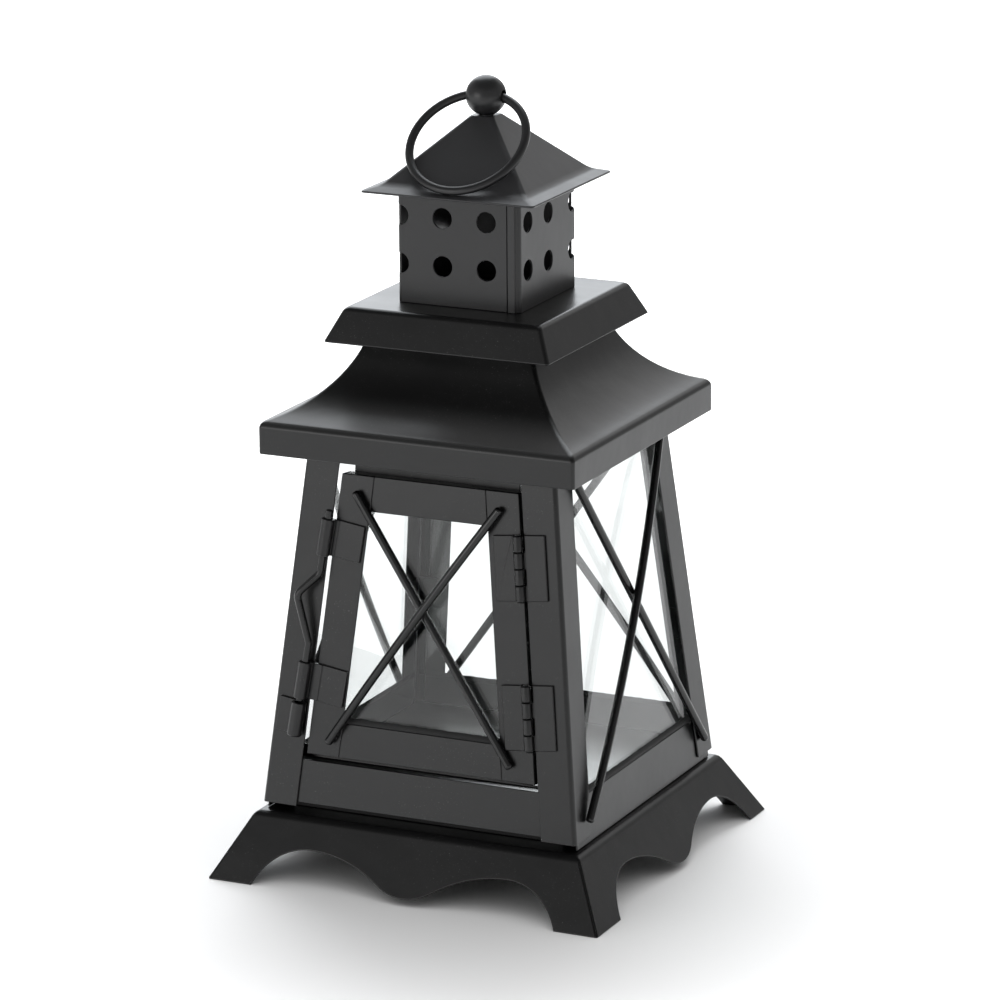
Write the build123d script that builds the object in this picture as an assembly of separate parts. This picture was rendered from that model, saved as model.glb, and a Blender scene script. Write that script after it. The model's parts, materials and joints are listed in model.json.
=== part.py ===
from build123d import *
import os
from math import acos, atan, cos, degrees, hypot, radians, sin, sqrt, tan

# Candle lantern of black painted sheet steel with glass panes.
# Millimetres, +Z up, origin on the table under the middle of the base, door towards -Y.

# Sheet, clearances
SHEET = 0.8             # gauge of all folded sheet pieces
FIT = 0.1               # gap between pieces that are fixed to each other
RUN = 0.3               # gap between pieces that move past each other

# Flared base
BASE_HEIGHT = 23.6
BASE_FLARE = 13.1       # how far each foot stands out beyond the deck
BASE_FOLD = 4.0         # outside fold radius round the deck
DECK_MARGIN = 1.7       # deck shows this much round the body
FOOT_WIDTH = 16.9       # flat length of a foot along one side
CREST_INSET = 20.5      # from the foot to the crest of its arch
ARCH_HEIGHT = 13.2
PENDANT_HEIGHT = 2.6    # drop between the two arches of a side, above the table
PENDANT_RADIUS = 20.0
SIDE_ARCH_SHIFT = 3.5   # arches of the left and right sides sit this much nearer the back

# Tapered body
BODY_WIDTH = 121.2      # across the posts at their foot
BODY_HEIGHT = 131.8
BODY_LIFT = 2.6         # shadow gap between deck and posts
LEAN = 5.87             # degrees, each face leans in
POST_FLANGE = 13.3
POST_FOLD = 1.6
SILL_LIFT = 1.4         # front rail starts this far up the post
SILL_HEIGHT = 15.8      # front rail, under the door
RAIL_TOP = 14.6         # top of the other three, which stand on the deck
RAIL_SETBACK = 3.0      # rail ends this far from the corner
FLOOR_RISE = 6.4        # floor pan above the deck
PAN_INSET = 6.0         # its upright rim stands this far in under its plate
GLASS = 2.0
PANE_SETBACK = 6.0      # pane edge to corner
CLIP_SHEET = 0.6
CLIP_LENGTH = 8.0
CLIP_FOOT = 7.0
CLIP_FINGER = 9.0
CLIP_LOW = 34.0         # lower clips, up from the foot of the posts
CLIP_HIGH = 28.0        # upper clips, down from the ceiling
CLIP_STAGGER = 12.0     # back pane's clips sit this much higher

# Crossed wires on all four faces
WIRE = 3.0
WIRE_ROUND = 1.1        # rounding of the cut ends
WIRE_TOP = 3.0          # end below the ceiling, on the fixed faces
WIRE_TOP_INSET = 7.0    # end to corner
WIRE_FOOT = 6.0         # end above the foot of the posts
WIRE_FOOT_INSET = 9.0
WIRE_SLIP = 4.0         # the left face's upper wire was welded on this much nearer the back

# Door
HINGE_GAP = 1.0         # door to post on the hinge side
LATCH_GAP = 1.5         # and on the latch side
DOOR_SILL_GAP = 2.4     # door above its rail
DOOR_HEAD_GAP = 12.0    # door below the ceiling
DOOR_DEPTH = 6.0        # folded edge
STILE = 12.5
STOP_LAP = 2.0          # door stops reach this far behind the door's top and bottom edges
STOP_END = 2.0          # ends of the upper stop to the posts
STOP_FOOT = 0.4         # lower stop, height of its low end at the hinges
DOOR_PANE_EDGE = 1.5    # pane to folded edge
DOOR_CLIP = 6.0
DOOR_CLIP_INSET = 20.0  # clips from the ends of the stiles
DOOR_WIRE_TOP = 5.6     # wire ends from the door's top edge
DOOR_WIRE_TOP_INSET = 6.5
DOOR_WIRE_FOOT = 5.0
DOOR_WIRE_FOOT_INSET = 8.3

# Butt hinges
HINGE_LENGTH = 23.0
HINGE_TOP = 14.1        # below the door's top
HINGE_FOOT = 12.0       # above the door's bottom
HINGE_LEAF = 1.0
HINGE_WIDTH = 9.8       # each leaf, from the pin
HINGE_INSET = 0.5       # pin line inside the door's edge
KNUCKLE = 3.4
KNUCKLES = 4
HINGE_PIN = 1.6
PIN_CLEARANCE = 0.05
PIN_HEAD = 2.2
PIN_HEAD_HEIGHT = 0.4

# Sliding latch bolt, its two guides on the door and its keeper on the post
BOLT = 2.6
BOLT_CLEARANCE = 0.1
BOLT_HEAD = 3.2         # bolt above its upper guide
BOLT_END_ROUND = 0.5
BOLT_TRAVEL = 5.0       # each way from rest
BOLT_BEND = 3.5
BOLT_BEND_ROOM = 1.8    # bend points keep this clear of the guides at full travel
KINK = 6.8              # thumb kink, out from the bolt line
KINK_DROP = 8.6         # its peak below the upper bend
KINK_TURN = 20.0        # degrees, the kink stands away from the post
GUIDE_WALL = 1.0
GUIDE_LENGTH = 13.2
GUIDE_LEAF = 11.7       # leaf over the stile
GUIDE_TOP = 16.0        # upper guide below the door's top
GUIDE_FOOT = 20.2       # lower guide above the door's bottom
GUIDE_TOP_REACH = 1.7   # bolt line beyond the door edge at the upper guide
GUIDE_FOOT_REACH = 4.0  # and at the lower guide
KEEPER_LENGTH = 12.4
KEEPER_DROP = 1.6       # keeper below the lower guide
KEEPER_LEAF = 8.4
KEEPER_CLEARANCE = 0.35
KEEPER_ROUND = 1.0

# Roof, collar
EAVES_OVERHANG = 12.95
CEILING_RECESS = 5.1    # ceiling above the fascia's lower edge
CEILING_LIP = 4.0
VENT = 50.0
FASCIA_HEIGHT = 11.2
EAVES_FOLD = 2.6
ROOF_RISE = 37.7
ROOF_SWEEP = 42.3       # radius of the concave slope
ROOF_THROAT = 59.2
COLLAR_TOP = 74.6
COLLAR_FLARE = 5.65
COLLAR_DROP = 11.8
COLLAR_FOLD = 2.4

# Chimney, cap
CHIMNEY_WIDTH = 46.7
CHIMNEY_HEIGHT = 44.1
CHIMNEY_FOLD = 1.6
SEAM_FLAP = 4.4
SEAM_STEP = 0.7
SEAM_GROOVE = 0.5       # open line beside the flap
FLUE_LIP = 2.6          # collar deck inside the chimney wall
VENT_HOLE = 7.2
HOLE_ROWS = (14.0, 31.0)
# Hole centres along each panel, from its left end seen from outside; end holes run round the corner
FRONT_HOLES = (0.7, 17.3, 34.0)
RIGHT_HOLES = (6.9, 23.6, 44.0)
BACK_HOLES = (6.0, 22.7, 39.4)
LEFT_HOLES = (6.9, 23.6)
CAP_OVERHANG = 9.65
CAP_BRIM = 5.5
BRIM_RISE = 1.7
CAP_RISE = 21.6
CAP_FLAT = 9.0
CAP_FOLD = 8.0          # soft crease between slope and brim
CAP_CORNER = 2.2        # rounded corners of the brim

# Finial and hanging ring
BALL = 14.2
BALL_SEAT = 3.8         # flat under the ball
RING_RADIUS = 21.0      # to the middle of the wire
RING_WIRE = 3.0
RING_BORE_CLEARANCE = 0.2
SCREW = 3.9
SCREW_HEAD = 7.0
SCREW_HEAD_HEIGHT = 2.4
SCREW_GRIP = 4.0        # thread in the ball

# Levels and half widths that follow from the sizes above
lean = radians(LEAN)
body_half = BODY_WIDTH / 2
deck_half = body_half + DECK_MARGIN
base_half = deck_half + BASE_FLARE
z_deck = BASE_HEIGHT
z_body = z_deck + BODY_LIFT
z_ceiling = z_body + BODY_HEIGHT
z_floor = z_deck + FLOOR_RISE
z_fascia = z_ceiling - CEILING_RECESS
z_eaves = z_fascia + FASCIA_HEIGHT
z_throat = z_eaves + ROOF_RISE
z_collar = z_throat + SHEET
roof_half = body_half - BODY_HEIGHT * tan(lean) + EAVES_OVERHANG
chimney_half = CHIMNEY_WIDTH / 2
z_chimney = z_collar + CHIMNEY_HEIGHT
slope_length = BODY_HEIGHT / cos(lean)
level_sheet = SHEET / cos(lean)         # sheet of a leaning face, measured level
reach = 4 * base_half                   # longer than anything it cuts

# Where a turned piece has its origin: in the middle of its lower or its upper end
STANDING = (Align.CENTER, Align.CENTER, Align.MIN)
HANGING = (Align.CENTER, Align.CENTER, Align.MAX)

# The front face: x across, y up the slope from the foot of the posts, z outwards
FRONT = Plane(origin=(0, -body_half, z_body), x_dir=(1, 0, 0), z_dir=(0, -cos(lean), sin(lean)))


def half_width(up):
    """Half the width of a face, this far up its slope."""
    return body_half - up * sin(lean)


def on_front(across, up, out):
    """Point in the part's frame from a place on the front face."""
    return FRONT.from_local_coords(Vector(across, up, out))


def sheet_on_front(points, out, thickness):
    """Flat piece on the front face, its outer surface this far out."""
    outline = make_face(Polyline(*points, close=True))
    return extrude(FRONT.offset(out) * outline, amount=-thickness)


def turned(shape, quarter):
    """The same piece on another face: 1 right, 2 back, 3 left."""
    return Rot(0, 0, 90 * quarter) * shape


def box_between(low, high):
    """Box from its lowest to its highest corner."""
    size = Vector(*high) - Vector(*low)
    return Pos(*low) * Box(size.X, size.Y, size.Z, align=(Align.MIN,) * 3)


def square_solid(face):
    """Four-sided solid whose section on both X and Y is this face."""
    along = extrude(Plane.XZ * face, amount=reach, both=True)
    return along & turned(along, 1)


def pressed_shell(face, half, low, high):
    """Sheet that follows the top of a section, trimmed to a square and between two levels."""
    shell = square_solid(face) - square_solid(offset(face, amount=-SHEET, kind=Kind.INTERSECTION))
    return shell & box_between((-half, -half, low), (half, half, high))


def mirrored_face(outline):
    """Full section from its right half, a line of edges that ends on the middle."""
    across = mirror(outline, about=Plane.YZ)
    start = outline @ 0
    bottom = Line((start.X, start.Y), (-start.X, start.Y))
    return make_face([*outline.edges(), *across.edges(), bottom])


def folded(face, places, radius):
    """Rounds the fold lines of a section at these points and at their mirror images."""
    corners = [v for v in face.vertices() for x, z in places if hypot(abs(v.X) - x, v.Y - z) < SHEET / 8]
    return fillet(corners, radius)


def rod(path, diameter, end_round):
    """Round wire along a path, with softened ends."""
    section = Plane(origin=path @ 0, z_dir=path % 0) * Circle(diameter / 2)
    wire = sweep(section, path=path)
    ends = wire.faces().filter_by(GeomType.PLANE)
    return fillet([edge for face in ends for edge in face.edges()], end_round)


# Base: a flared skirt with arched sides and a closed deck

def arch_outline():
    """Two arches with a pendant between them, cut from each side of the base."""
    foot = base_half - FOOT_WIDTH
    crest = foot - CREST_INSET
    rise = ARCH_HEIGHT - PENDANT_HEIGHT
    arch_radius = (crest ** 2 + rise ** 2) / (2 * rise) - PENDANT_RADIUS
    share = PENDANT_RADIUS / (PENDANT_RADIUS + arch_radius)
    pendant_centre = PENDANT_HEIGHT + PENDANT_RADIUS
    meet = (crest * share, pendant_centre + (ARCH_HEIGHT - arch_radius - pendant_centre) * share)
    outer = TangentArc((crest, ARCH_HEIGHT), (foot, 0), tangent=(1, 0))
    inner = TangentArc((crest, ARCH_HEIGHT), meet, tangent=(-1, 0))
    pendant = ThreePointArc(meet, (0, PENDANT_HEIGHT), (-meet[0], meet[1]))
    arcs = [outer, inner, mirror(outer, about=Plane.YZ), mirror(inner, about=Plane.YZ), pendant]
    below = Polyline((foot, 0), (foot, -BASE_HEIGHT), (-foot, -BASE_HEIGHT), (-foot, 0))
    return make_face([edge for arc in arcs for edge in arc.edges()] + list(below.edges()))


def base_skirt():
    outline = Polyline((base_half + BASE_FLARE, -BASE_HEIGHT), (deck_half, z_deck), (0, z_deck))
    section = folded(mirrored_face(outline), [(deck_half, z_deck)], BASE_FOLD)
    shell = pressed_shell(section, reach, 0, z_deck)
    arches = extrude(Plane.XZ * arch_outline(), amount=reach, both=True)
    return shell - arches - turned(Pos(SIDE_ARCH_SHIFT, 0, 0) * arches, 1)


def floor_pan():
    """Plate on an upright rim. The panes stand on it and the rails are welded round it."""
    half = half_width((z_floor - z_body) / cos(lean)) - 2 * level_sheet - FIT
    rim, hollow = half - PAN_INSET, half - PAN_INSET - SHEET
    plate = box_between((-half, -half, z_floor - SHEET), (half, half, z_floor))
    tray = box_between((-rim, -rim, z_deck), (rim, rim, z_floor - SHEET))
    return plate + (tray - box_between((-hollow, -hollow, z_deck), (hollow, hollow, z_floor - SHEET)))


# Body: four angle posts, four rails, three fixed panes with their clips

corner_up = Vector(-tan(lean), tan(lean), 1)    # along the front right corner


def post():
    """Front right corner: a folded angle that leans in on both faces."""
    b, f, t = body_half, POST_FLANGE, level_sheet
    points = [(b, -b), (b, f - b), (b - t, f - b), (b - t, t - b), (b - f, t - b), (b - f, -b)]
    outline = make_face(Polyline(*points, close=True))
    outer = outline.vertices().sort_by(Axis.X)[-2:].sort_by(Axis.Y)[0]
    outline = fillet(outer, POST_FOLD)
    inner = [v for v in outline.vertices() if hypot(v.X - (b - t), v.Y - (t - b)) < t / 8]
    outline = fillet(inner, POST_FOLD - t)
    return extrude(Pos(0, 0, z_body) * outline, amount=BODY_HEIGHT * corner_up.length, dir=corner_up)


def rail(low, high):
    """Strip between two posts, behind their flanges."""
    wide, narrow = half_width(low) - RAIL_SETBACK, half_width(high) - RAIL_SETBACK
    return sheet_on_front([(-wide, low), (wide, low), (narrow, high), (-narrow, high)], -SHEET, SHEET)


stop_depth = DOOR_DEPTH + RUN           # the door shuts against stops this far behind the front


def sill_rail():
    """Front rail, its top folded back as a landing and up as a stop that slants down to the hinges."""
    high = SILL_LIFT + SILL_HEIGHT
    tall = high + DOOR_SILL_GAP + STOP_LAP
    end = half_width(tall) - PANE_SETBACK
    landing = [(-end, high - SHEET), (end, high - SHEET), (end, high), (-end, high)]
    stop = [(-end, high), (end, high), (end, high + STOP_FOOT), (-end, tall)]
    folds = sheet_on_front(landing, -SHEET, stop_depth) + sheet_on_front(stop, -stop_depth, SHEET)
    return rail(SILL_LIFT, high) + folds


pane_depth = 2 * SHEET + 2 * FIT        # fixed panes stand behind posts and rails


def fixed_pane():
    low = (z_floor + FIT - z_body) / cos(lean) + GLASS * tan(lean) + FIT
    high = slope_length - pane_depth * tan(lean) - RUN
    wide, narrow = half_width(low) - PANE_SETBACK, half_width(high) - PANE_SETBACK
    outline = [(-wide, low), (wide, low), (narrow, high), (-narrow, high)]
    return sheet_on_front(outline, -pane_depth, GLASS)


def pane_clip(height):
    """Angle clip in the front right post that holds the right pane's edge."""
    half = body_half - height * tan(lean)
    back = half - (pane_depth + GLASS + FIT) / cos(lean)
    flange = half - level_sheet
    tip, thin, foot = CLIP_FINGER - flange, back - CLIP_SHEET, CLIP_SHEET - flange
    end = back - CLIP_FOOT
    points = [(back, -flange), (back, tip), (thin, tip), (thin, foot), (end, foot), (end, -flange)]
    outline = make_face(Polyline(*points, close=True))
    return extrude(Pos(0, 0, z_body + height) * outline, amount=CLIP_LENGTH * corner_up.length, dir=corner_up)


def glass_clips():
    clips = []
    for quarter, lift in ((0, 0), (1, CLIP_STAGGER), (2, 0)):
        for height in (CLIP_LOW, BODY_HEIGHT - CLIP_HIGH - CLIP_LENGTH):
            clip = pane_clip(height + lift)
            clips += [turned(clip, quarter), turned(mirror(clip, about=Plane.XZ), quarter)]
    return Compound(clips)


# Crossed wires: one lies on the face, the other bows over it

def cross_wires(top, bottom):
    """Two wires on the front face between (across, up) ends given for the right-hand side."""
    lie = WIRE / 2 + FIT / 2
    share = top[0] / (top[0] + bottom[0])
    crossing = (0, top[1] + (bottom[1] - top[1]) * share, lie + WIRE + FIT)
    under = Line(on_front(-top[0], top[1], lie), on_front(bottom[0], bottom[1], lie))
    over = ThreePointArc(on_front(-bottom[0], bottom[1], lie), on_front(*crossing), on_front(*top, lie))
    return rod(under, WIRE, WIRE_ROUND), rod(over, WIRE, WIRE_ROUND)


def fixed_wires():
    top, bottom = slope_length - WIRE_TOP, WIRE_FOOT
    ends = (half_width(top) - WIRE_TOP_INSET, top), (half_width(bottom) - WIRE_FOOT_INSET, bottom)
    return cross_wires(*ends)


# Door: two stiles, two rails, pane, clips and wires

door_foot = SILL_LIFT + SILL_HEIGHT + DOOR_SILL_GAP
door_head = slope_length - DOOR_HEAD_GAP
door_shift = (LATCH_GAP - HINGE_GAP) / 2        # the door's middle line, right of the face's


def door_header():
    """Strip that hangs from the ceiling plate between the posts; the door shuts against it."""
    low, high = door_head - STOP_LAP, slope_length + stop_depth * tan(lean) - FIT
    end = half_width(high) - POST_FLANGE - STOP_END
    return sheet_on_front([(-end, low), (end, low), (end, high), (-end, high)], -stop_depth, SHEET)


def door_edge(up):
    """Half the width of the door, this far up the face."""
    return half_width(up) - POST_FLANGE - (HINGE_GAP + LATCH_GAP) / 2


def upright_strip(edge, width, out, depth):
    """Strip along the right-hand edge of the door, this far in from it."""
    low, high = door_edge(door_foot) - edge, door_edge(door_head) - edge
    points = [(low, door_foot), (high, door_head), (high - width, door_head), (low - width, door_foot)]
    return sheet_on_front(points, out, depth)


def door_stile():
    """Right-hand stile, its outer edge folded back."""
    return upright_strip(0, STILE, 0, SHEET) + upright_strip(0, SHEET, 0, DOOR_DEPTH)


def door_rail(edge, inward):
    """Strip between the stiles, folded back along the door's top or bottom edge."""
    low, high = sorted((edge, edge + inward * STILE))
    wide, narrow = door_edge(low) - STILE, door_edge(high) - STILE
    face = sheet_on_front([(-wide, low), (wide, low), (narrow, high), (-narrow, high)], 0, SHEET)
    low, high = sorted((edge, edge + inward * SHEET))
    end = door_edge(high) - SHEET - FIT
    flange = [(-end, low), (end, low), (end, high), (-end, high)]
    return face + sheet_on_front(flange, -SHEET, DOOR_DEPTH - SHEET)


def door_pane():
    inset = SHEET + DOOR_PANE_EDGE
    low, high = door_foot + inset, door_head - inset
    wide, narrow = door_edge(low) - inset, door_edge(high) - inset
    return sheet_on_front([(-wide, low), (wide, low), (narrow, high), (-narrow, high)], -SHEET - FIT, GLASS)


def door_clips():
    """Small angles welded inside the folded edges, bent over the pane."""
    behind = SHEET + GLASS + 2 * FIT
    clips = []
    for low in (door_foot + DOOR_CLIP_INSET, door_head - DOOR_CLIP_INSET - DOOR_CLIP):
        high = low + DOOR_CLIP
        wide, narrow = door_edge(low) - SHEET, door_edge(high) - SHEET
        finger = [(wide, low), (narrow, high), (narrow - DOOR_CLIP, high), (wide - DOOR_CLIP, low)]
        foot = [(wide, low), (narrow, high), (narrow - CLIP_SHEET, high), (wide - CLIP_SHEET, low)]
        clip = sheet_on_front(finger, -behind, CLIP_SHEET)
        clip += sheet_on_front(foot, -behind, DOOR_DEPTH - behind)
        clips += [clip, mirror(clip, about=Plane.YZ)]
    return Compound(clips)


def door_wires():
    top, bottom = door_head - DOOR_WIRE_TOP, door_foot + DOOR_WIRE_FOOT
    ends = (door_edge(top) - DOOR_WIRE_TOP_INSET, top), (door_edge(bottom) - DOOR_WIRE_FOOT_INSET, bottom)
    return cross_wires(*ends)


# Hinges: leaves flat on door and post, knuckles proud of the gap between them

hinge_out = KNUCKLE / 2 + FIT


def hinge_line(up):
    """Point of the pin's line, just inside the door's edge."""
    return on_front(door_shift + door_edge(up) - HINGE_INSET, up, hinge_out)


def hinge_plane(up):
    """Frame on the pin's line: x towards the post, y into the lantern, z up the pin."""
    return Plane(origin=hinge_line(up), x_dir=(1, 0, 0), z_dir=hinge_line(slope_length) - hinge_line(0))


def hinge_leaf(side, first):
    """Leaf on the post (side 1) or on the door (side -1), with every other knuckle."""
    pitch = HINGE_LENGTH / KNUCKLES
    face, top = hinge_out, hinge_out - HINGE_LEAF
    near = KNUCKLE / 2 + RUN
    leaf = box_between((near, top, 0), (HINGE_WIDTH, face, HINGE_LENGTH))
    for index in range(first, KNUCKLES, 2):
        low, high = index * pitch + FIT, (index + 1) * pitch - FIT
        leaf += Pos(0, 0, low) * Cylinder(KNUCKLE / 2, high - low, align=STANDING)
        leaf += box_between((0, top - FIT, low), (near, face - FIT, high))
    leaf -= Cylinder(HINGE_PIN / 2 + PIN_CLEARANCE, 3 * HINGE_LENGTH)
    return leaf if side > 0 else mirror(leaf, about=Plane.YZ)


def hinge_pin():
    shank = Cylinder(HINGE_PIN / 2, HINGE_LENGTH, align=STANDING)
    head = Cylinder(PIN_HEAD / 2, PIN_HEAD_HEIGHT, align=STANDING)
    return shank + Pos(0, 0, HINGE_LENGTH) * head + Pos(0, 0, -PIN_HEAD_HEIGHT) * head


# Latch: a bolt with a thumb kink slides in two rolled guides and drops into the keeper

guide_radius = BOLT / 2 + BOLT_CLEARANCE + GUIDE_WALL
latch_out = guide_radius + RUN
guide_high = door_head - GUIDE_TOP
guide_low = door_foot + GUIDE_FOOT


def latch_line(up):
    """Point of the bolt's line, beside the free edge of the door."""
    share = (up - guide_low) / (guide_high - guide_low)
    beyond = GUIDE_FOOT_REACH + (GUIDE_TOP_REACH - GUIDE_FOOT_REACH) * share
    edge = door_edge(guide_low) + (door_edge(guide_high) - door_edge(guide_low)) * share
    return on_front(door_shift - edge - beyond, up, latch_out)


latch_up = (latch_line(guide_high) - latch_line(guide_low)).normalized()
latch_rise = (latch_line(guide_high) - latch_line(guide_low)).length
# Heights along the bolt from the foot of the lower guide
upper_guide = latch_rise - GUIDE_LENGTH
keeper_mouth = -KEEPER_DROP


def latch_plane(height):
    """Frame on the bolt's line: x towards the door, y into the lantern, z up the bolt."""
    return Plane(origin=latch_line(guide_low) + latch_up * height, x_dir=(1, 0, 0), z_dir=latch_up)


def latch_guide(beyond):
    """Strip rolled round the bolt, its leaf welded to the stile."""
    near, far = beyond + GUIDE_WALL, beyond + GUIDE_LEAF
    guide = Cylinder(guide_radius, GUIDE_LENGTH, align=STANDING)
    guide += box_between((0, guide_radius - GUIDE_WALL, 0), (near + GUIDE_WALL, guide_radius, GUIDE_LENGTH))
    guide += box_between((near, latch_out - GUIDE_WALL, 0), (far, latch_out, GUIDE_LENGTH))
    return guide - Cylinder(BOLT / 2 + BOLT_CLEARANCE, 3 * GUIDE_LENGTH)


def latch_keeper():
    """Cup on the post that takes the foot of the bolt, hanging down from its mouth."""
    cup = Cylinder(latch_out - FIT / 2, KEEPER_LENGTH, align=HANGING)
    cup = fillet(cup.edges().sort_by(Axis.Z)[0], KEEPER_ROUND)
    leaf = box_between((-KEEPER_LEAF, latch_out - GUIDE_WALL, -KEEPER_LENGTH), (0, latch_out, 0))
    depth = KEEPER_LENGTH - GUIDE_WALL
    return cup + leaf - Cylinder(BOLT / 2 + KEEPER_CLEARANCE, depth, align=HANGING)


def latch_bolt():
    """Round bar with its foot just above the keeper and a kink between the guides for the thumb."""
    turn = radians(KINK_TURN)
    low = GUIDE_LENGTH + BOLT_TRAVEL + BOLT_BEND_ROOM
    high = upper_guide - BOLT_TRAVEL - BOLT_BEND_ROOM
    peak = (-KINK * cos(turn), -KINK * sin(turn), high - KINK_DROP)
    points = [(0, 0, keeper_mouth + RUN), (0, 0, low), peak, (0, 0, high), (0, 0, latch_rise + BOLT_HEAD)]
    path = FilletPolyline(*points, radius=BOLT_BEND)
    return rod(path, BOLT, BOLT_END_ROUND)


# Roof: ceiling plate on the posts, swept roof with its fascia, collar

def ceiling_plate():
    half = roof_half - SHEET - FIT
    tray = box_between((-half, -half, z_ceiling - CEILING_LIP), (half, half, z_ceiling + SHEET))
    inner = half - SHEET
    hollow = box_between((-inner, -inner, z_ceiling - CEILING_LIP), (inner, inner, z_ceiling))
    vent = box_between((-VENT / 2, -VENT / 2, z_ceiling), (VENT / 2, VENT / 2, z_ceiling + SHEET))
    return tray - hollow - vent


def roof_shell():
    throat = ROOF_THROAT / 2
    side = Line((roof_half, z_fascia - FASCIA_HEIGHT), (roof_half, z_eaves))
    slope = RadiusArc((roof_half, z_eaves), (throat, z_throat), ROOF_SWEEP)
    top = Polyline((throat, z_throat), (throat, z_throat + ROOF_RISE), (0, z_throat + ROOF_RISE))
    section = mirrored_face(Wire([side.edge(), slope.edge(), *top.edges()]))
    section = folded(section, [(roof_half, z_eaves)], EAVES_FOLD)
    return pressed_shell(section, reach, z_fascia, z_throat)


def roof_collar():
    top = COLLAR_TOP / 2
    outline = Polyline((top + 2 * COLLAR_FLARE, z_collar - 2 * COLLAR_DROP), (top, z_collar), (0, z_collar))
    section = folded(mirrored_face(outline), [(top, z_collar)], COLLAR_FOLD)
    flue = chimney_half - SHEET - FLUE_LIP
    throat = box_between((-flue, -flue, z_throat - COLLAR_DROP), (flue, flue, z_collar))
    return pressed_shell(section, reach, z_collar - COLLAR_DROP, z_collar) - throat


# Chimney: one strip folded square with a lapped seam, punched with vent holes

def chimney_tube():
    section = RectangleRounded(CHIMNEY_WIDTH, CHIMNEY_WIDTH, CHIMNEY_FOLD)
    tube = extrude(section - offset(section, amount=-SHEET), amount=CHIMNEY_HEIGHT)
    tube += box_between((chimney_half - SEAM_FLAP, -chimney_half - SEAM_STEP, 0),
                        (chimney_half - CHIMNEY_FOLD, -chimney_half + SHEET, CHIMNEY_HEIGHT))
    tube -= box_between((chimney_half - SEAM_FLAP - SEAM_GROOVE, -chimney_half - SEAM_STEP, 0),
                        (chimney_half - SEAM_FLAP, -chimney_half + SHEET / 2, CHIMNEY_HEIGHT))
    punch = Rot(90, 0, 0) * Cylinder(VENT_HOLE / 2, 4 * SHEET)
    for quarter, holes in enumerate((FRONT_HOLES, RIGHT_HOLES, BACK_HOLES, LEFT_HOLES)):
        for along in holes:
            for height in HOLE_ROWS:
                tube -= turned(Pos(along - chimney_half, -chimney_half, height) * punch, quarter)
    return Pos(0, 0, z_collar) * tube


cap_half = chimney_half + CAP_OVERHANG
crease = cap_half - CAP_BRIM
pitch = CAP_RISE / (crease - CAP_FLAT / 2)
# The cap's underside rests on the chimney's outer top edge
z_crease = z_chimney + FIT + SHEET * hypot(1, pitch) - (crease - chimney_half - SEAM_STEP) * pitch
z_rim = z_crease - BRIM_RISE
z_cap = z_crease + CAP_RISE


def chimney_cap():
    beyond = cap_half + 2 * CAP_BRIM        # the brim is drawn on past the rim, then trimmed
    brim = [(beyond, z_rim - CAP_RISE), (beyond, z_rim - 2 * BRIM_RISE), (crease, z_crease)]
    outline = Polyline(*brim, (CAP_FLAT / 2, z_cap), (0, z_cap))
    section = folded(mirrored_face(outline), [(crease, z_crease)], CAP_FOLD)
    shell = pressed_shell(section, cap_half, z_rim - CAP_RISE / 2, z_cap)
    plan = extrude(RectangleRounded(2 * cap_half, 2 * cap_half, CAP_CORNER), amount=z_cap)
    return (shell & plan) - Pos(0, 0, z_cap) * Cylinder(SCREW / 2 + FIT, 4 * SHEET)


# Finial ball on the cap, its screw from inside, and the ring through it

ball_radius = BALL / 2
z_ball = z_cap + sqrt(ball_radius ** 2 - (BALL_SEAT / 2) ** 2)
# The ring's arc bows inside the ball, so its middle runs half that bow off the pivot
ring_bow = RING_RADIUS - sqrt(RING_RADIUS ** 2 - ball_radius ** 2)
ring_hang = RING_RADIUS - ring_bow / 2
ring_bore = RING_WIRE / 2 + ring_bow / 2 + RING_BORE_CLEARANCE


def finial_ball():
    ball = Pos(0, 0, z_ball) * Sphere(ball_radius)
    ball -= box_between((-BALL, -BALL, z_cap - BALL), (BALL, BALL, z_cap))
    ball -= Pos(0, 0, z_ball) * Rot(0, 90, 0) * Cylinder(ring_bore, 2 * BALL)
    return ball - Pos(0, 0, z_cap) * Cylinder(SCREW / 2 + FIT, 2 * (SCREW_GRIP + FIT))


def finial_screw():
    head = Cylinder(SCREW_HEAD / 2, SCREW_HEAD_HEIGHT, align=HANGING)
    head = fillet(head.edges().sort_by(Axis.Z)[0], SCREW_HEAD_HEIGHT / 2)
    shank = Cylinder(SCREW / 2, SHEET + SCREW_GRIP, align=STANDING)
    return Pos(0, 0, z_cap - SHEET) * (head + shank)


# The ring leans forward until it rests on the brim
brim_angle = atan(BRIM_RISE / CAP_BRIM)
ring_reach = RING_RADIUS + ring_hang
rest_height = RING_WIRE / 2 + RUN / 2 + cap_half * sin(brim_angle) - (z_ball - z_rim) * cos(brim_angle)
ring_lean = degrees(acos(-rest_height / ring_reach) - brim_angle)


def hanging_ring():
    ring = Rot(90, 0, 0) * Torus(RING_RADIUS, RING_WIRE / 2)
    return Pos(0, 0, z_ball) * Rot(-ring_lean, 0, 0) * Pos(0, 0, -ring_hang) * ring


# Nodes

parts = {"base_skirt": base_skirt(), "floor_pan": floor_pan()}

corner_post = post()
for quarter, name in enumerate(("front_right", "back_right", "back_left", "front_left")):
    parts[f"post_{name}"] = turned(corner_post, quarter)

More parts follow.
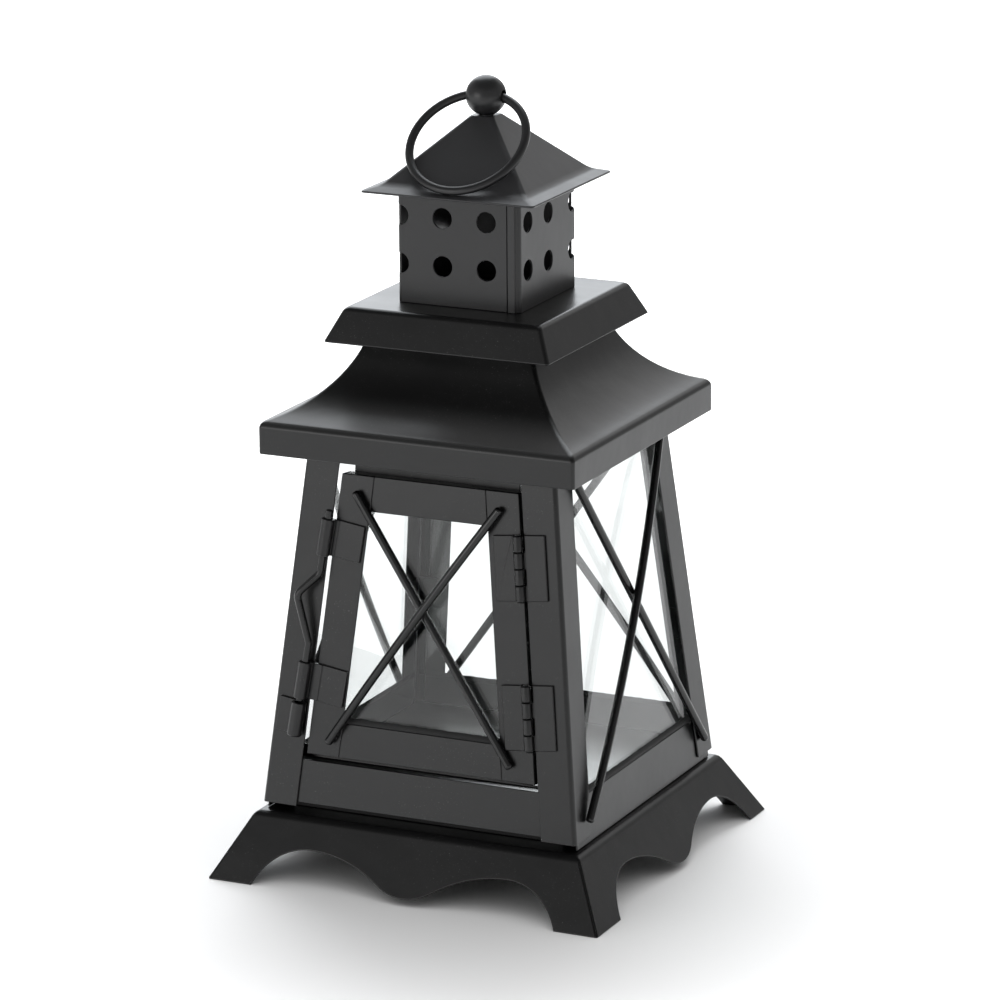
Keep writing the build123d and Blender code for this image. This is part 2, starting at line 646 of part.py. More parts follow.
parts["rail_front"] = sill_rail()
rail_foot = (FIT - BODY_LIFT) / cos(lean) + 2 * SHEET * tan(lean)
plain_rail = rail(rail_foot, RAIL_TOP)
pane = fixed_pane()
wire_under, wire_over = fixed_wires()
for quarter, name, slip in ((1, "right", 0), (2, "back", 0), (3, "left", WIRE_SLIP)):
    parts[f"rail_{name}"] = turned(plain_rail, quarter)
    parts[f"glass_{name}"] = turned(pane, quarter)
    parts[f"wire_{name}_under"] = turned(wire_under, quarter)
    parts[f"wire_{name}_over"] = turned(Pos(-slip, 0, 0) * wire_over, quarter)
parts["glass_clips"] = glass_clips()

hinge_stile = door_stile()
door_under, door_over = door_wires()
door = {
    "door_stile_hinge": hinge_stile,
    "door_stile_latch": mirror(hinge_stile, about=Plane.YZ),
    "door_rail_top": door_rail(door_head, -1),
    "door_rail_bottom": door_rail(door_foot, 1),
    "door_glass": door_pane(),
    "door_glass_clips": door_clips(),
    "door_wire_under": door_under,
    "door_wire_over": door_over,
}
for name, shape in door.items():
    parts[name] = Pos(door_shift, 0, 0) * shape

for name, up in (("upper", door_head - HINGE_TOP - HINGE_LENGTH), ("lower", door_foot + HINGE_FOOT)):
    seat = hinge_plane(up)
    parts[f"hinge_{name}_post_leaf"] = seat * hinge_leaf(1, 0)
    parts[f"hinge_{name}_door_leaf"] = seat * hinge_leaf(-1, 1)
    parts[f"hinge_{name}_pin"] = seat * hinge_pin()

parts["latch_guide_upper"] = latch_plane(upper_guide) * latch_guide(GUIDE_TOP_REACH)
parts["latch_guide_lower"] = latch_plane(0) * latch_guide(GUIDE_FOOT_REACH)
parts["latch_keeper"] = latch_plane(keeper_mouth) * latch_keeper()
parts["latch_bolt"] = latch_plane(0) * latch_bolt()

parts["ceiling_plate"] = ceiling_plate()
parts["door_header"] = door_header()
parts["roof"] = roof_shell()
parts["roof_collar"] = roof_collar()
parts["chimney"] = chimney_tube()
parts["chimney_cap"] = chimney_cap()
parts["finial_ball"] = finial_ball()
parts["finial_screw"] = finial_screw()
parts["hanging_ring"] = hanging_ring()

os.makedirs("parts", exist_ok=True)
for name, shape in parts.items():
    export_step(shape, f"parts/{name}.step")

print(f"{len(parts)} nodes, {2 * base_half:.1f} wide, {z_ball + ball_radius:.1f} high")
print(f"ring leans {ring_lean:.1f} degrees at rest")
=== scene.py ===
import json
from math import cos, pi, radians, sin

import bmesh
import bpy
from mathutils import Matrix, Vector
from mathutils.noise import noise

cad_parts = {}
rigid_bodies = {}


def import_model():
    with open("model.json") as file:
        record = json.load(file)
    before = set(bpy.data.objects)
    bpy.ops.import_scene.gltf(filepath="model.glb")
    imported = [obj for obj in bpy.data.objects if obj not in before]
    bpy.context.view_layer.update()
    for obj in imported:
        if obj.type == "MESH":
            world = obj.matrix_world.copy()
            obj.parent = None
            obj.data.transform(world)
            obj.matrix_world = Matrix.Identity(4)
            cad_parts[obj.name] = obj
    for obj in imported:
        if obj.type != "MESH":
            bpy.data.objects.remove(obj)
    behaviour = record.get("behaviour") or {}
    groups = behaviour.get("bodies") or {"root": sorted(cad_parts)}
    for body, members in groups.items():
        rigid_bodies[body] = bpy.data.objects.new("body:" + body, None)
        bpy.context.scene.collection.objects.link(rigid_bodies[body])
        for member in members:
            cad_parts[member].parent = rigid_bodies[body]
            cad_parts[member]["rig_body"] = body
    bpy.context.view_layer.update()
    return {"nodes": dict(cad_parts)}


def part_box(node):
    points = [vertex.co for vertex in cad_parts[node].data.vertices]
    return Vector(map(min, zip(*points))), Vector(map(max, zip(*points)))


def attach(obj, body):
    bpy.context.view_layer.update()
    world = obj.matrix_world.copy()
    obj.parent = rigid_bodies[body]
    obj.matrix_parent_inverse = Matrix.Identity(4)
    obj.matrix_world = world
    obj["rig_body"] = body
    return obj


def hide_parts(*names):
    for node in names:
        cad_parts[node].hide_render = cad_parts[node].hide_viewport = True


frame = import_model()


# Flared base: one skirt of 0.8 mm steel sheet with scalloped sides under a closed deck.
# The four sides are folded down from the deck and welded along the corners, then the whole
# lantern is sprayed with a satin black paint that rounds every cut edge a little.

class Socket:
    """A node's output that takes part in sums: each operator adds its Math node to the tree."""

    def __init__(self, tree, output=None):
        self.tree = tree
        self.output = output

    def node(self, kind, inputs=None, output=0, **settings):
        """Any other node, with its settings made first and then its inputs set or linked."""
        made = self.tree.nodes.new(kind)
        for name, value in settings.items():
            setattr(made, name, value)
        for name, value in (inputs or {}).items():
            if isinstance(value, Socket):
                self.tree.links.new(value.output, made.inputs[name])
            else:
                made.inputs[name].default_value = value
        return Socket(self.tree, made.outputs[output] if made.outputs else None)

    def math(self, operation, first, second):
        return self.node("ShaderNodeMath", {0: first, 1: second}, operation=operation)

    def __add__(self, other):
        return self.math("ADD", self, other)

    def __radd__(self, other):
        return self.math("ADD", other, self)

    def __sub__(self, other):
        return self.math("SUBTRACT", self, other)

    def __rsub__(self, other):
        return self.math("SUBTRACT", other, self)

    def __mul__(self, other):
        return self.math("MULTIPLY", self, other)

    def __rmul__(self, other):
        return self.math("MULTIPLY", other, self)

    def between(self, low, high):
        """0 below low, 1 above high and a smooth step from one to the other."""
        inputs = {"Value": self, "From Min": low, "From Max": high}
        return self.node("ShaderNodeMapRange", inputs, interpolation_type="SMOOTHSTEP")

    def blend(self, dark, light):
        """Colour that goes from dark to light with this value."""
        return self.node("ShaderNodeMix", {0: self, 6: dark, 7: light}, output=2, data_type="RGBA")


def new_material(name):
    """Empty material, with the start of its node tree."""
    made = bpy.data.materials.new(name)
    made.use_nodes = True
    made.node_tree.nodes.clear()
    return made, Socket(made.node_tree)


DRIFT_SCALE = 38.0              # waves of the sheet and drifts of the spray
PEEL_SCALE = 800.0              # orange peel
GRIT_SCALE = 2900.0             # dry grains of spray
GRAIN = 0.71, 0.77              # grit above this is a pale grain
DRIFT = 0.40, 0.62              # and only in these drifts
PALE_SPRAY_AND_HIGHLIGHT = (0.12, 0.12, 0.12, 1)
EAVES_HIGHLIGHT_BAND = 0.1630, 0.1650, 0.1740        # painted highlight along the eaves between these heights, brightest at the second
BLUE_CAST = 1.06                # the black is a little blue
GLOSS_DRIFT = 0.14              # roughness comes and goes with the drifts
GRAIN_DULL = 0.20               # and grains are dull
SHEET_WAVE = 0.0006             # depth of the waves in the sheet
PEEL_DEPTH = 0.000007           # depth of the orange peel
PAINT_IOR = 1.56


def satin_black(name, shade, roughness, overspray=0.0, eaves_highlight=0.0, peel_depth=PEEL_DEPTH, shine=0.5):
    """Sprayed satin black: faint orange peel, sheet that is never quite flat, drifts of pale overspray, and
    a painted highlight along the eaves.
    """
    made, tree = new_material(name)
    place = tree.node("ShaderNodeTexCoord", output="Object")
    cloud = tree.node("ShaderNodeTexNoise", {"Vector": place, "Scale": DRIFT_SCALE, "Detail": 3.0})
    peel = tree.node("ShaderNodeTexNoise", {"Vector": place, "Scale": PEEL_SCALE, "Detail": 2.0})
    grit = tree.node("ShaderNodeTexNoise", {"Vector": place, "Scale": GRIT_SCALE, "Detail": 1.0})
    specks = grit.between(*GRAIN) * cloud.between(*DRIFT) * overspray
    rise = tree.node("ShaderNodeSeparateXYZ", {0: place}, output="Z")
    start, most, end = EAVES_HIGHLIGHT_BAND
    # pale grains of overspray, and a painted highlight in a band along the eaves
    pale = specks + eaves_highlight * rise.between(start, most) * (1.0 - rise.between(most, end))
    colour = pale.blend((shade, shade, BLUE_CAST * shade, 1), PALE_SPRAY_AND_HIGHLIGHT)
    gloss = roughness + GLOSS_DRIFT * (cloud - 0.5) + GRAIN_DULL * specks
    wave = tree.node("ShaderNodeBump", {"Strength": 0.5, "Distance": SHEET_WAVE, "Height": cloud})
    skin = {"Strength": 0.5, "Distance": peel_depth, "Height": peel + 0.5 * grit, "Normal": wave}
    bump = tree.node("ShaderNodeBump", skin)
    inputs = {"Base Color": colour, "Roughness": gloss, "Normal": bump,
              "IOR": PAINT_IOR, "Specular IOR Level": shine}
    paint = tree.node("ShaderNodeBsdfPrincipled", inputs)
    tree.node("ShaderNodeOutputMaterial", {"Surface": paint})
    return made


sheet_paint = satin_black("satin_black_sheet", shade=0.0030, roughness=0.31, overspray=1.0)

SAME_POINT = 1e-6
FLAT_ANGLE = radians(0.5)       # faces that turn by less than this are one
FOLD_ANGLE = radians(28)        # edges that turn by more than this are folds or cuts
CUT_EDGE = 0.00034              # paint rounds the cut edges of the sheet to this


def merged(node):
    """Copy of a CAD piece's mesh with its loose triangles joined into plain faces."""
    shape = bmesh.new()
    shape.from_mesh(frame["nodes"][node].data)
    bmesh.ops.remove_doubles(shape, verts=shape.verts, dist=SAME_POINT)
    bmesh.ops.dissolve_limit(shape, angle_limit=FLAT_ANGLE, verts=shape.verts, edges=shape.edges)
    return shape


def rounded(shape, edges, radius, segments):
    """Rounds these edges of a shape."""
    bmesh.ops.bevel(shape, geom=edges, offset=radius, offset_type="OFFSET", affect="EDGES",
                    segments=segments, profile=0.5, material=-1, clamp_overlap=False)


def sharp_edges(shape, least=FOLD_ANGLE):
    """Edges of a shape that turn by more than this."""
    return [e for e in shape.edges if e.is_manifold and e.calc_face_angle() > least]


def corner_seams(shape, least=FOLD_ANGLE):
    """Those of them that run up one of the lantern's four corners, where |x| = |y|."""
    seams = []
    for edge in sharp_edges(shape, least):
        a, b = (v.co for v in edge.verts)
        off_corner = max(abs(abs(a.x) - abs(a.y)), abs(abs(b.x) - abs(b.y)))
        if off_corner < 10 * SAME_POINT and a.x * b.x > 0 and a.y * b.y > 0:
            seams.append(edge)
    return seams


def made_piece(name, shape):
    """Object with this shape as its smooth mesh, flat faces kept flat."""
    for face in shape.faces:
        face.smooth = True
    mesh = bpy.data.meshes.new(name)
    shape.to_mesh(mesh)
    shape.free()
    piece = bpy.data.objects.new(name, mesh)
    bpy.context.scene.collection.objects.link(piece)
    piece.modifiers.new("flat faces", "WEIGHTED_NORMAL").weight = 100
    return piece


def painted(node, shape):
    """The finished piece that stands for a CAD piece and moves with it."""
    piece = made_piece("painted_" + node, shape)
    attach(piece, frame["nodes"][node]["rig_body"])
    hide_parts(node)
    return piece


def softened(node, edge):
    """A CAD piece with paint-rounded cut edges."""
    shape = merged(node)
    rounded(shape, sharp_edges(shape), edge, 2)
    return painted(node, shape)


def finish_with(piece, material):
    """Gives a piece its only material."""
    piece.data.materials.clear()
    piece.data.materials.append(material)


SKIRT_CORNER = 0.0006   # radius of the welded corners
SKIRT_RIM = 0.0006      # radius of the cuts' outer edge
LOOKS_UP = 0.2          # a flared face's normal rises by more than this


def scalloped_skirt():
    """The skirt with rounder corners, and with the outer edge of its cuts drawn over by the press."""
    shape = merged("base_skirt")
    rounded(shape, corner_seams(shape), SKIRT_CORNER, 2)
    rims = [e for e in sharp_edges(shape) if any(face.normal.z > LOOKS_UP for face in e.link_faces)]
    rounded(shape, rims, SKIRT_RIM, 3)
    return painted("base_skirt", shape)


finish_with(scalloped_skirt(), sheet_paint)


# Floor pan: a plate of the same sheet on an inset upright rim, folded and set on the deck.
# The candle stands on it, and so do the panes along its edges.

finish_with(softened("floor_pan", CUT_EDGE), sheet_paint)


# Corner posts and rails: angles folded from strip, leaning in, with flat rails welded behind
# their flanges. The front rail is a sill, folded back at its top as the door's landing and up
# again behind the door as a stop that slants down to the hinges.

for corner in ("front_right", "back_right", "back_left", "front_left"):
    finish_with(softened("post_" + corner, CUT_EDGE), sheet_paint)
for side in ("front", "right", "back", "left"):
    finish_with(softened("rail_" + side, CUT_EDGE), sheet_paint)


# Panes: 2 mm float glass with ground edges, a little green in their depth. The three fixed
# panes stand on the floor pan behind the posts, the fourth is held in the door.

GLASS_TINT = (0.965, 0.98, 0.975, 1)
GLASS_SHADOW = (0.86, 0.90, 0.89, 1)    # what a pane leaves of the lamp light
GLASS_IOR = 1.5


def float_glass(name):
    """Clear glass that lets lamp light through to the inside."""
    made, tree = new_material(name)
    clear = {"Base Color": GLASS_TINT, "Roughness": 0.0, "IOR": GLASS_IOR, "Transmission Weight": 1.0}
    glass = tree.node("ShaderNodeBsdfPrincipled", clear)
    through = tree.node("ShaderNodeBsdfTransparent", {"Color": GLASS_SHADOW})
    shadow = tree.node("ShaderNodeLightPath", output="Is Shadow Ray")
    both = tree.node("ShaderNodeMixShader", {0: shadow, 1: glass, 2: through})
    tree.node("ShaderNodeOutputMaterial", {"Surface": both})
    return made


GROUND_EDGE = 0.0003
pane_glass = float_glass("float_glass")
for pane in ("glass_right", "glass_back", "glass_left", "door_glass"):
    finish_with(softened(pane, GROUND_EDGE), pane_glass)


# Pane clips: small angles of thin strip, welded inside the posts and the door's folded edges
# and bent over the panes.

CLIP_EDGE = 0.00015
for clips in ("glass_clips", "door_glass_clips"):
    finish_with(softened(clips, CLIP_EDGE), sheet_paint)


# Crossed wires: 3 mm round wire, cropped ends, one straight and one bowed over it on each
# face. They are drawn smooth, so the paint lies glossier on them than on the sheet.

wire_paint = satin_black("satin_black_wire", shade=0.0036, roughness=0.19)
for side in ("wire_right", "wire_back", "wire_left", "door_wire"):
    for place in ("_under", "_over"):
        finish_with(frame["nodes"][side + place], wire_paint)


# Door frame: two stiles and two rails of folded strip, butted and welded, 6 mm deep.
# The faces that look into the gap beside the hinges get a darker, matt black that hardly reflects: painted
# shade for the gap.

HINGE_SIDE = 0.8        # faces that look into the gap have a normal this far to the right
gap_shade_paint = satin_black("painted_shade_black_gap", shade=0.0015, roughness=0.80, shine=0.05)
for strip in ("stile_latch", "rail_top", "rail_bottom"):
    finish_with(softened("door_" + strip, CUT_EDGE), sheet_paint)
hinge_stile = softened("door_stile_hinge", CUT_EDGE)
finish_with(hinge_stile, sheet_paint)
hinge_stile.data.materials.append(gap_shade_paint)
for face in hinge_stile.data.polygons:
    if face.normal.x > HINGE_SIDE:
        face.material_index = 1


# Mastic: a black bead pressed in along the foot of each pane, over the top edge of its rail,
# 2.2 mm high and never quite even.

BEAD_HEIGHT = 0.0022
BEAD_WAVE = 0.0003      # unevenness of its top
BEAD_RIPPLE = 420       # and its scale
BEAD_STEPS = 60
# Section of the bead: share of the way back from the rail's face to the pane, share of the height
BEAD_SECTION = (0.15, 0.03), (0.98, 0.03), (0.98, 1.0), (0.75, 0.96), (0.35, 0.55)


def outer_face(node):
    """Corners, from low to high, and normal of a CAD piece's widest face that looks outwards."""
    shape = merged(node)
    looking_out = []
    for face in shape.faces:
        middle = face.calc_center_median()
        if face.normal.dot(Vector((middle.x, middle.y, 0))) > 0:
            looking_out.append(face)
    widest = max(looking_out, key=lambda face: face.calc_area())
    corners = sorted((v.co.copy() for v in widest.verts), key=lambda corner: corner.z)
    normal = widest.normal.copy()
    shape.free()
    return corners, normal


def mastic_bead(rail, pane):
    """Bead between a rail's top edge and the pane behind it."""
    corners, outwards = outer_face(rail)
    start, end = corners[-2:]
    pane_corners, _ = outer_face(pane)
    back = (pane_corners[0] - start).dot(outwards)
    along = end - start
    up = outwards.cross(along).normalized()
    up = up if up.z > 0 else -up
    bead = bmesh.new()
    verts = [bead.verts.new(start + back * a * outwards + BEAD_HEIGHT * b * up) for a, b in BEAD_SECTION]
    section = bead.faces.new(verts)
    far_end = bmesh.ops.extrude_face_region(bead, geom=[section])["geom"]
    bmesh.ops.translate(bead, vec=along, verts=[v for v in far_end if isinstance(v, bmesh.types.BMVert)])
    lengthwise = [e for e in bead.edges if e.calc_length() > 0.9 * along.length]
    bmesh.ops.subdivide_edges(bead, edges=lengthwise, cuts=BEAD_STEPS)
    for vertex in bead.verts:
        risen = (vertex.co - start).dot(up) / BEAD_HEIGHT
        vertex.co += risen * BEAD_WAVE * noise(BEAD_RIPPLE * vertex.co) * up
    bmesh.ops.recalc_face_normals(bead, faces=bead.faces)
    piece = made_piece("mastic_" + pane, bead)
    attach(piece, frame["nodes"][pane]["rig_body"])
    return piece


mastic = satin_black("black_mastic", shade=0.004, roughness=0.70, peel_depth=0.00015)
for rail, pane in (("rail_right", "glass_right"), ("rail_back", "glass_back"),
                   ("rail_left", "glass_left"), ("door_rail_bottom", "door_glass")):
    finish_with(mastic_bead(rail, pane), mastic)


# Hinges: two small butt hinges, rolled knuckles on a headed pin, welded on over the edge of
# the door and painted with the lantern.

LEAF_EDGE = 0.0004
PIN_EDGE = 0.0001
for hinge in ("hinge_upper_", "hinge_lower_"):
    finish_with(softened(hinge + "post_leaf", LEAF_EDGE), sheet_paint)
    finish_with(softened(hinge + "door_leaf", LEAF_EDGE), sheet_paint)
    finish_with(softened(hinge + "pin", PIN_EDGE), wire_paint)


# Latch: a round bar bent to a thumb kink, which slides in two guides rolled from strip. They
# are welded on the door, and the cup that takes the foot of the bar on the left post.

GUIDE_EDGE = 0.0003
for latch in ("latch_guide_upper", "latch_guide_lower", "latch_keeper"):
    finish_with(softened(latch, GUIDE_EDGE), sheet_paint)
finish_with(frame["nodes"]["latch_bolt"], wire_paint)


# Roof: four swept panels of 0.8 mm sheet with an upright fascia, welded along the hips and
# ground down, over a plate on the post tops. A strip hangs from that plate as the door's stop.

SHEET = 0.0008
FASCIA = 0.0112         # height of the upright fascia
EAVES_FOLD = 0.0019     # flat lost on each side of the fold
THROAT = 0.0296         # half width at the top
SWEEP = 0.0423          # radius of the hollow slope
SWEEP_STEPS = 16
HIP_ROUND = 0.0013      # radius of the ground corners
HIP_WELD = 0.00022      # the weld stands this far proud of the hips
FLAT_SEAM = radians(5)   # corners that turn by more than this are seams
CUT_ANGLE = radians(50) # and only cut edges turn by more than this


def four_sided(profile):
    """Turns a profile drawn on y = 0, from the middle outwards, into a square shell with mitred corners."""
    onto_corner = Matrix(((1, 0, 0, 0), (-1, 0, 0, 0), (0, 0, 1, 0), (0, 0, 0, 1)))
    bmesh.ops.transform(profile, matrix=onto_corner, verts=profile.verts)
    bmesh.ops.spin(profile, geom=profile.verts[:] + profile.edges[:], axis=(0, 0, 1), cent=(0, 0, 0),
                   angle=2 * pi, steps=4, use_merge=True)
    bmesh.ops.remove_doubles(profile, verts=profile.verts, dist=SAME_POINT)
    bmesh.ops.recalc_face_normals(profile, faces=profile.faces)
    if max(profile.faces, key=lambda face: abs(face.normal.z)).normal.z < 0:
        bmesh.ops.reverse_faces(profile, faces=profile.faces)
    return profile


def level_edges(shape, height):
    """Edges of a four-sided shell that run level round it at this height."""
    return [e for e in shape.edges if all(abs(v.co.z - height) < SAME_POINT for v in e.verts)]


def thickened(shape):
    """Gives a shell the sheet's thickness on its inside, and paint-rounded cut edges."""
    bmesh.ops.solidify(shape, geom=shape.faces[:], thickness=SHEET)
    rounded(shape, sharp_edges(shape, CUT_ANGLE), CUT_EDGE, 2)
    return shape


def swept_roof():
    """Hollow slope from the throat to the eaves, and the fascia that hangs from its fold."""
    low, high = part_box("roof")
    throat, eaves = Vector((THROAT, 0, high[2])), Vector((high[0], 0, low[2] + FASCIA))
    chord = eaves - throat
    bow = (SWEEP ** 2 - chord.length_squared / 4) ** 0.5
    centre = (throat + eaves) / 2 + bow * Vector((-chord.z, 0, chord.x)).normalized()
    shape = bmesh.new()
    start = shape.verts.new(throat)
    turn = (throat - centre).angle(eaves - centre)
    bmesh.ops.spin(shape, geom=[start], axis=(0, -1, 0), cent=centre, angle=turn, steps=SWEEP_STEPS)
    last = max(shape.verts, key=lambda v: v.co.x)
    fascia = bmesh.ops.extrude_vert_indiv(shape, verts=[last])["verts"]
    bmesh.ops.translate(shape, vec=(0, 0, -FASCIA), verts=fascia)
    four_sided(shape)
    rounded(shape, level_edges(shape, eaves.z), EAVES_FOLD, 5)
    rounded(shape, corner_seams(shape, FLAT_SEAM), HIP_ROUND, 4)
    for vertex in shape.verts:
        on_hip = abs(abs(vertex.co.x) - abs(vertex.co.y)) < SAME_POINT
        if on_hip and vertex.co.z > eaves.z:
            vertex.co += HIP_WELD * vertex.normal
    return thickened(shape)


finish_with(softened("ceiling_plate", CUT_EDGE), sheet_paint)
finish_with(softened("door_header", CUT_EDGE), sheet_paint)
# The roof's paint has a painted highlight along the eaves, where light falls on them.
roof_paint = satin_black("satin_black_roof", shade=0.0030, roughness=0.31, overspray=1.0, eaves_highlight=0.35)
finish_with(painted("roof", swept_roof()), roof_paint)


# Collar: a flared square tray pressed from the same sheet and turned over on the roof's throat,
# with a flue hole in its deck that the chimney covers.

COLLAR_DECK = 0.0373    # half width of the deck
COLLAR_FOLD = 0.0015    # flat lost on each side of the fold
FLUE = 0.01995          # half width of the hole


def profile_of(*points):
    """Open profile through (across, height) points."""
    shape = bmesh.new()
    verts = [shape.verts.new((x, 0, z)) for x, z in points]
    for first, second in zip(verts, verts[1:]):
        shape.edges.new((first, second))
    return shape


def flared_collar():
    """Flat deck round the flue hole, folded down into four sloping sides."""
    low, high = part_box("roof_collar")
    shape = four_sided(profile_of((FLUE, high[2]), (COLLAR_DECK, high[2]), (high[0], low[2])))
    fold = [e for e in level_edges(shape, high[2]) if e.calc_face_angle(0) > FOLD_ANGLE]
    rounded(shape, fold, COLLAR_FOLD, 5)
    rounded(shape, corner_seams(shape, FLAT_SEAM), HIP_ROUND, 4)
    return thickened(shape)


finish_with(painted("roof_collar", flared_collar()), sheet_paint)


# Chimney: one strip folded square with a lapped seam at the front and two rows of punched holes.
# Its cap is pressed from one sheet, with a soft crease where the flatter brim begins.

HOLE_EDGE = 0.00025
# A lighter copy of the satin black for the chimney, ball and ring: painted light for the brighter light on
# the upper parts.
lit_top_paint = satin_black("satin_black_top_painted_lighter", shade=0.013, roughness=0.33, overspray=0.4)
finish_with(softened("chimney", HOLE_EDGE), lit_top_paint)

CAP_BRIM = 0.0055       # width of the brim
BRIM_RISE = 0.0017
CAP_RISE = 0.0216       # from the crease to the seat
CAP_FLAT = 0.0045       # half width of the seat under the ball
CAP_HOLE = 0.00205      # half width of the screw's hole
CAP_CREASE = 0.0018     # flat lost on each side of the crease


def pressed_cap():
    """Steep sides from the seat to the crease, and the brim outside it."""
    _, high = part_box("chimney_cap")
    crease = high[2] - CAP_RISE
    slope = (CAP_HOLE, high[2]), (CAP_FLAT, high[2]), (high[0] - CAP_BRIM, crease)
    shape = four_sided(profile_of(*slope, (high[0], crease - BRIM_RISE)))
    rounded(shape, level_edges(shape, crease), CAP_CREASE, 5)
    rounded(shape, corner_seams(shape, FLAT_SEAM), HIP_ROUND, 4)
    return thickened(shape)


# A still lighter copy for the cap: painted light on its slopes.
lit_cap_paint = satin_black("satin_black_cap_painted_lighter", shade=0.026, roughness=0.36, overspray=0.4)
finish_with(painted("chimney_cap", pressed_cap()), lit_cap_paint)


# Finial: a turned steel ball on the cap, held by a plated screw from inside and cross-drilled.
# The hanging ring is bent from 3 mm wire, passed through the ball and welded shut.

ZINC_SCALE = 600.0
ZINC_DULL = (0.48, 0.48, 0.50, 1)
ZINC_BRIGHT = (0.60, 0.60, 0.61, 1)


def zinc_plate(name):
    """Zinc plating on steel, a little cloudy."""
    made, tree = new_material(name)
    place = tree.node("ShaderNodeTexCoord", output="Object")
    cloud = tree.node("ShaderNodeTexNoise", {"Vector": place, "Scale": ZINC_SCALE, "Detail": 2.0})
    colour = cloud.between(0.3, 0.7).blend(ZINC_DULL, ZINC_BRIGHT)
    inputs = {"Base Color": colour, "Metallic": 1.0, "Roughness": 0.25 + 0.20 * cloud}
    plating = tree.node("ShaderNodeBsdfPrincipled", inputs)
    tree.node("ShaderNodeOutputMaterial", {"Surface": plating})
    return made


finish_with(frame["nodes"]["finial_ball"], lit_top_paint)
finish_with(frame["nodes"]["finial_screw"], zinc_plate("zinc_plate"))
finish_with(frame["nodes"]["hanging_ring"], lit_top_paint)


# Studio: a white card floor that keeps the shadow and a white surround that is darker towards
# the ceiling in the paint's reflections. Four soft boxes: a window and a panel behind the
# lantern, a light above that only lights, and a low card in front.

FLOOR_HALF = 6.0
FLOOR_WHITE = (0.80, 0.80, 0.80, 1)
FLOOR_GLOW = 0.5                # lifts the floor to white for the camera alone
GLOW_RISE = 0.10, 0.30          # from under the lantern to clear of its shadow
floor_mesh = bpy.data.meshes.new("studio_floor")
sweep = bmesh.new()
bmesh.ops.create_grid(sweep, x_segments=1, y_segments=1, size=FLOOR_HALF)
sweep.to_mesh(floor_mesh)
sweep.free()
studio_floor = bpy.data.objects.new("studio_floor", floor_mesh)
bpy.context.scene.collection.objects.link(studio_floor)

white_card, tree = new_material("white_card")
place = tree.node("ShaderNodeTexCoord", output="Object")
reach = tree.node("ShaderNodeVectorMath", {0: place}, output="Value", operation="LENGTH")
seen = tree.node("ShaderNodeLightPath", output="Is Camera Ray")
card = tree.node("ShaderNodeBsdfDiffuse", {"Color": FLOOR_WHITE})
lift = FLOOR_GLOW * seen * reach.between(*GLOW_RISE)
glow = tree.node("ShaderNodeEmission", {"Color": (1, 1, 1, 1), "Strength": lift})
both = tree.node("ShaderNodeAddShader", {0: card, 1: glow})
tree.node("ShaderNodeOutputMaterial", {"Surface": both})
floor_mesh.materials.append(white_card)

WALL = 0.34                     # the surround in reflections
CEILING = 0.03                  # and overhead
CEILING_RISE = 0.45, 0.85       # how steeply a reflection looks up, from wall to ceiling
LAMP_LOW = 0.2                  # plain light from below and the sides
LAMP_TOP = 1.1                  # and from overhead
world = bpy.data.worlds.new("studio")
bpy.context.scene.world = world
world.use_nodes = True
world.node_tree.nodes.clear()
sky = Socket(world.node_tree)
towards = sky.node("ShaderNodeTexCoord", output="Generated")
height = sky.node("ShaderNodeSeparateXYZ", {0: towards}, output="Z")
seen = sky.node("ShaderNodeLightPath", output="Is Camera Ray")
through = sky.node("ShaderNodeLightPath", output="Is Transmission Ray")
glossy = sky.node("ShaderNodeLightPath", output="Is Glossy Ray")
studio = WALL + (CEILING - WALL) * height.between(*CEILING_RISE)
lamps = LAMP_LOW + (LAMP_TOP - LAMP_LOW) * height.between(0.0, 1.0)
surround = lamps + glossy * (studio - lamps)
shown = seen + through - seen * through
strength = surround + shown * (1.0 - surround)
background = sky.node("ShaderNodeBackground", {"Color": (1, 1, 1, 1), "Strength": strength})
sky.node("ShaderNodeOutputWorld", {"Surface": background})


LANTERN_MIDDLE = Vector((0, 0, 0.13))


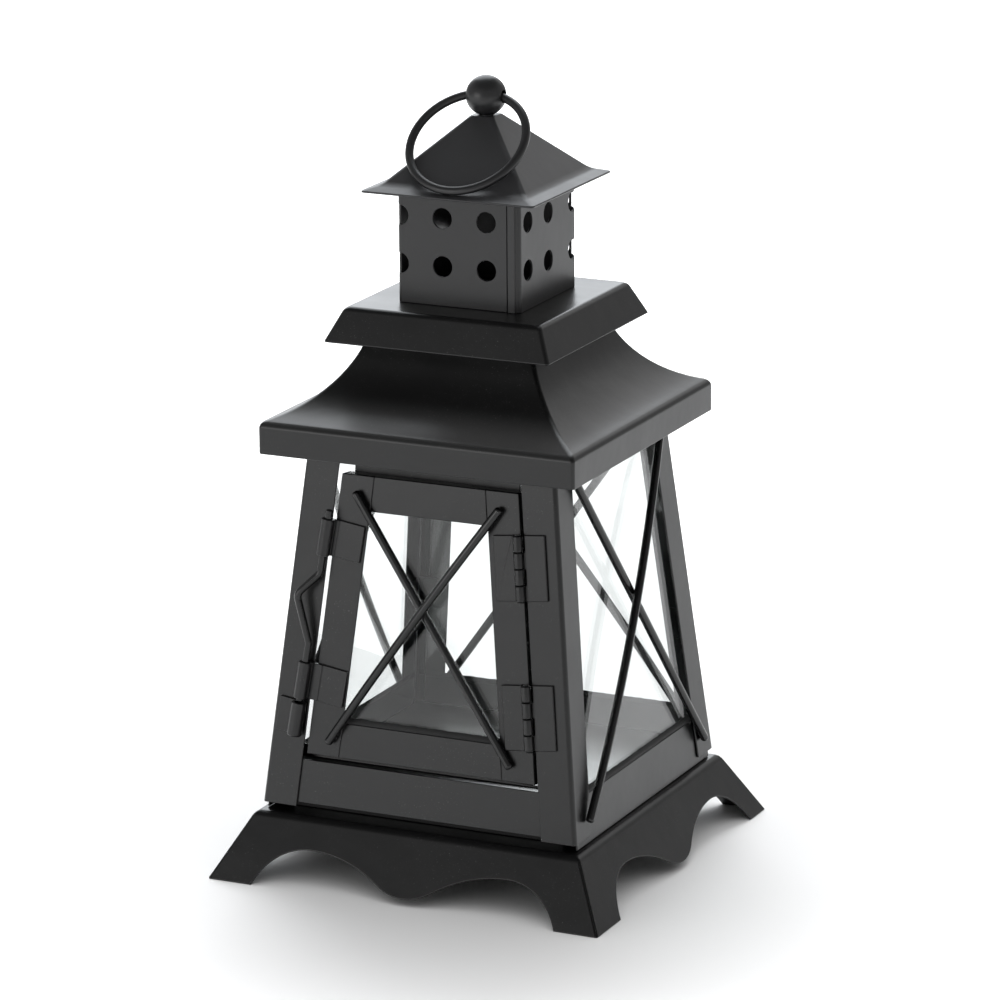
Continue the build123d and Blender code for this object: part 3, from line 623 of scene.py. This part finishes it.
def soft_box(name, place, size, radiance, tint=(1, 1, 1)):
    """Flat lamp of this brightness that faces the middle of the lantern."""
    lamp = bpy.data.lights.new(name, "AREA")
    lamp.shape = "RECTANGLE"
    lamp.size, lamp.size_y = size
    lamp.energy = radiance * pi * size[0] * size[1]
    lamp.color = tint
    made = bpy.data.objects.new(name, lamp)
    made.location = place
    made.rotation_euler = (LANTERN_MIDDLE - Vector(place)).to_track_quat("-Z", "Y").to_euler()
    bpy.context.scene.collection.objects.link(made)
    return made


DAYLIGHT = (0.92, 0.96, 1.0)
soft_box("back_window", place=(-0.89, 1.54, 1.42), size=(1.6, 2.64), radiance=2.5, tint=DAYLIGHT)
top_light = soft_box("top_light", place=(-0.45, 0.95, 1.35), size=(0.9, 0.9), radiance=4.0)
top_light.visible_glossy = False
soft_box("back_panel", place=(0.258, 1.836, 1.116), size=(0.93, 0.74), radiance=0.55)
soft_box("front_card", place=(-1.0, -1.95, 0.42), size=(1.5, 0.7), radiance=1.9)


# Camera: a long lens a little above the lantern and to the right of its door, on the
# photograph's line of sight, with the photograph's slight roll.

AZIMUTH = radians(25.231)
ELEVATION = radians(15.377)
ROLL = radians(-0.4)
DISTANCE = 1.87254
LENS = 191.018          # millimetres
FRAME_WIDTH = 36        # millimetres
AIM_HEIGHT = 0.127894
AIM_ASIDE = 0.003837

back = Vector((sin(AZIMUTH) * cos(ELEVATION), -cos(AZIMUTH) * cos(ELEVATION), sin(ELEVATION)))
level = Vector((cos(AZIMUTH), sin(AZIMUTH), 0))
upright = back.cross(level)
right = cos(ROLL) * level + sin(ROLL) * upright
up = cos(ROLL) * upright - sin(ROLL) * level
place = Vector((0, 0, AIM_HEIGHT)) + AIM_ASIDE * level + DISTANCE * back
lens = bpy.data.cameras.new("camera")
lens.lens = LENS
lens.sensor_width = FRAME_WIDTH
lens.clip_start = 0.1
camera = bpy.data.objects.new("camera", lens)
camera.matrix_world = Matrix((
    (right.x, up.x, back.x, place.x),
    (right.y, up.y, back.y, place.y),
    (right.z, up.z, back.z, place.z),
    (0, 0, 0, 1),
))
bpy.context.scene.collection.objects.link(camera)
bpy.context.scene.camera = camera
bpy.context.scene.view_settings.view_transform = "Standard"
